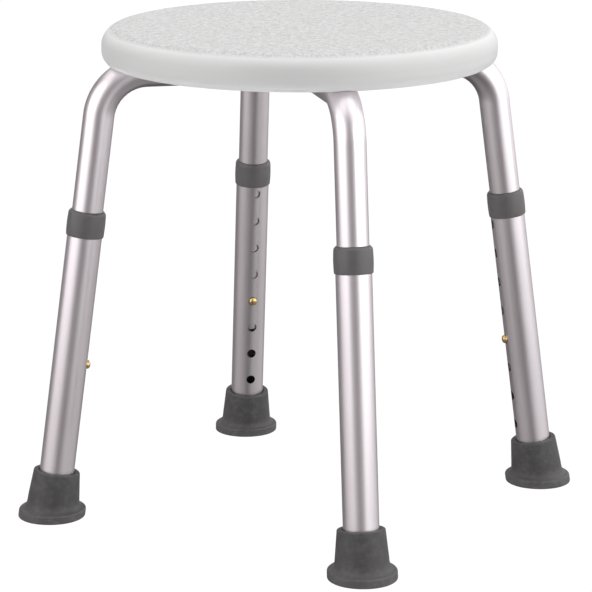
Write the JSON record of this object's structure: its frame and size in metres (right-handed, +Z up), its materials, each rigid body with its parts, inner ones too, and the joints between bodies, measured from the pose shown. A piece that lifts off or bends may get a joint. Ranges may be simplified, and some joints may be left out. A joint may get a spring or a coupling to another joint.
{
  "type": "shower stool",
  "caption": "Round backless bath stool: hollow moulded seat on crossing bent tubes, with splayed telescoping legs, snap buttons, collars and rubber feet.",
  "frame": {"origin": "on the floor under the seat's centre", "axes": "+Z up out of the seat, +X to the right leg, +Y to the rear leg; the side frame tube lies in the XZ plane and the fore-and-aft one in the YZ plane"},
  "size_m": [0.4792, 0.4792, 0.4036],
  "materials": {
    "seat_plastic": "white moulded polyethylene, pebbled on top, smooth at the rim",
    "anodised_aluminium": "satin anodised tube, lightly drawn along its length",
    "collar_plastic": "dark grey moulded plastic",
    "tip_rubber": "dark grey rubber",
    "brass": "turned brass",
    "steel": "plated steel"
  },
  "bodies": {
    "frame": {"seat": "seat_plastic", "side_frame_tube": "anodised_aluminium", "fore_aft_frame_tube": "anodised_aluminium", "centre_screw": "steel", "centre_saddle_washer": "collar_plastic", "centre_insert": "brass", "right_arm_screw": "steel", "right_saddle_washer": "collar_plastic", "right_insert": "brass", "right_button_spring": "steel", "rear_arm_screw": "steel", "rear_saddle_washer": "collar_plastic", "rear_insert": "brass", "rear_button_spring": "steel", "left_arm_screw": "steel", "left_saddle_washer": "collar_plastic", "left_insert": "brass", "left_button_spring": "steel", "front_arm_screw": "steel", "front_saddle_washer": "collar_plastic", "front_insert": "brass", "front_button_spring": "steel"},
    "right_leg": {"right_lower_tube": "anodised_aluminium", "right_collar": "collar_plastic", "right_rubber_tip": "tip_rubber", "right_tip_washer": "steel"},
    "right_button": {"right_snap_button": "brass"},
    "rear_leg": {"rear_lower_tube": "anodised_aluminium", "rear_collar": "collar_plastic", "rear_rubber_tip": "tip_rubber", "rear_tip_washer": "steel"},
    "rear_button": {"rear_snap_button": "brass"},
    "left_leg": {"left_lower_tube": "anodised_aluminium", "left_collar": "collar_plastic", "left_rubber_tip": "tip_rubber", "left_tip_washer": "steel"},
    "left_button": {"left_snap_button": "brass"},
    "front_leg": {"front_lower_tube": "anodised_aluminium", "front_collar": "collar_plastic", "front_rubber_tip": "tip_rubber", "front_tip_washer": "steel"},
    "front_button": {"front_snap_button": "brass"}
  },
  "joints": [
    {"name": "right_leg_slide", "type": "slide", "parent": "frame", "child": "right_leg", "axis": [0.1333, 0, -0.9911], "range_m": [-0.0762, 0.1016], "deforming": ["right_snap_button"]},
    {"name": "right_button_press", "type": "slide", "parent": "frame", "child": "right_button", "axis": [0.9911, 0, 0.1333], "range_m": [0, 0.005], "stiffness_N_per_m": 1500, "springref_m": -0.004, "deforming": ["right_button_spring"]},
    {"name": "rear_leg_slide", "type": "slide", "parent": "frame", "child": "rear_leg", "axis": [0, 0.1333, -0.9911], "range_m": [-0.0762, 0.1016], "deforming": ["rear_snap_button"]},
    {"name": "rear_button_press", "type": "slide", "parent": "frame", "child": "rear_button", "axis": [0, 0.9911, 0.1333], "range_m": [0, 0.005], "stiffness_N_per_m": 1500, "springref_m": -0.004, "deforming": ["rear_button_spring"]},
    {"name": "left_leg_slide", "type": "slide", "parent": "frame", "child": "left_leg", "axis": [-0.1333, 0, -0.9911], "range_m": [-0.0762, 0.1016], "deforming": ["left_snap_button"]},
    {"name": "left_button_press", "type": "slide", "parent": "frame", "child": "left_button", "axis": [-0.9911, 0, 0.1333], "range_m": [0, 0.005], "stiffness_N_per_m": 1500, "springref_m": -0.004, "deforming": ["left_button_spring"]},
    {"name": "front_leg_slide", "type": "slide", "parent": "frame", "child": "front_leg", "axis": [0, -0.1333, -0.9911], "range_m": [-0.0762, 0.1016], "deforming": ["front_snap_button"]},
    {"name": "front_button_press", "type": "slide", "parent": "frame", "child": "front_button", "axis": [0, -0.9911, 0.1333], "range_m": [0, 0.005], "stiffness_N_per_m": 1500, "springref_m": -0.004, "deforming": ["front_button_spring"]}
  ]
}
